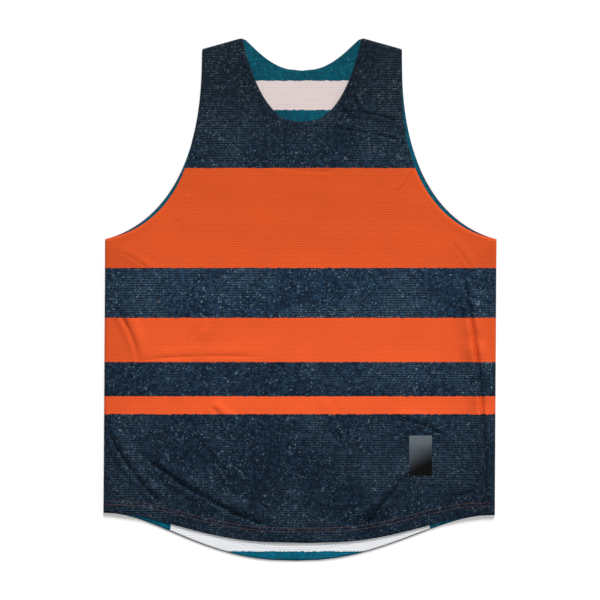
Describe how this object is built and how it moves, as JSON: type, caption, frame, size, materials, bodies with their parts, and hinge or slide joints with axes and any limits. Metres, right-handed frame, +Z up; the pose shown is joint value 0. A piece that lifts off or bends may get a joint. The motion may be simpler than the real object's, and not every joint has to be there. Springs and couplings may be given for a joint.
{
  "type": "reversible practice top",
  "caption": "Sleeveless two-ply mesh sports top laid flat, with a scooped neck, deep armholes, a shirt-tail hem and a small bare label by the front hem.",
  "frame": {"origin": "on the surface the top lies on, under the middle of its bounding box", "axes": "+Y runs from the hem to the shoulders, +Z up out of the surface and +X to the wearer's left; the front faces up"},
  "size_m": [0.5524, 0.7349, 0.0111],
  "materials": {
    "outer_mesh": "ribbed polyester mesh, navy with fine flecks and broad orange bands, slight sheen",
    "lining_mesh": "ribbed polyester mesh, teal with broad white bands, slight sheen",
    "label": "smooth printed patch fading from grey to black, bare"
  },
  "bodies": {
    "root": {"back": "outer_mesh", "back_lining": "lining_mesh", "front_lining": "lining_mesh", "front": "outer_mesh", "label": "label"}
  },
  "joints": []
}
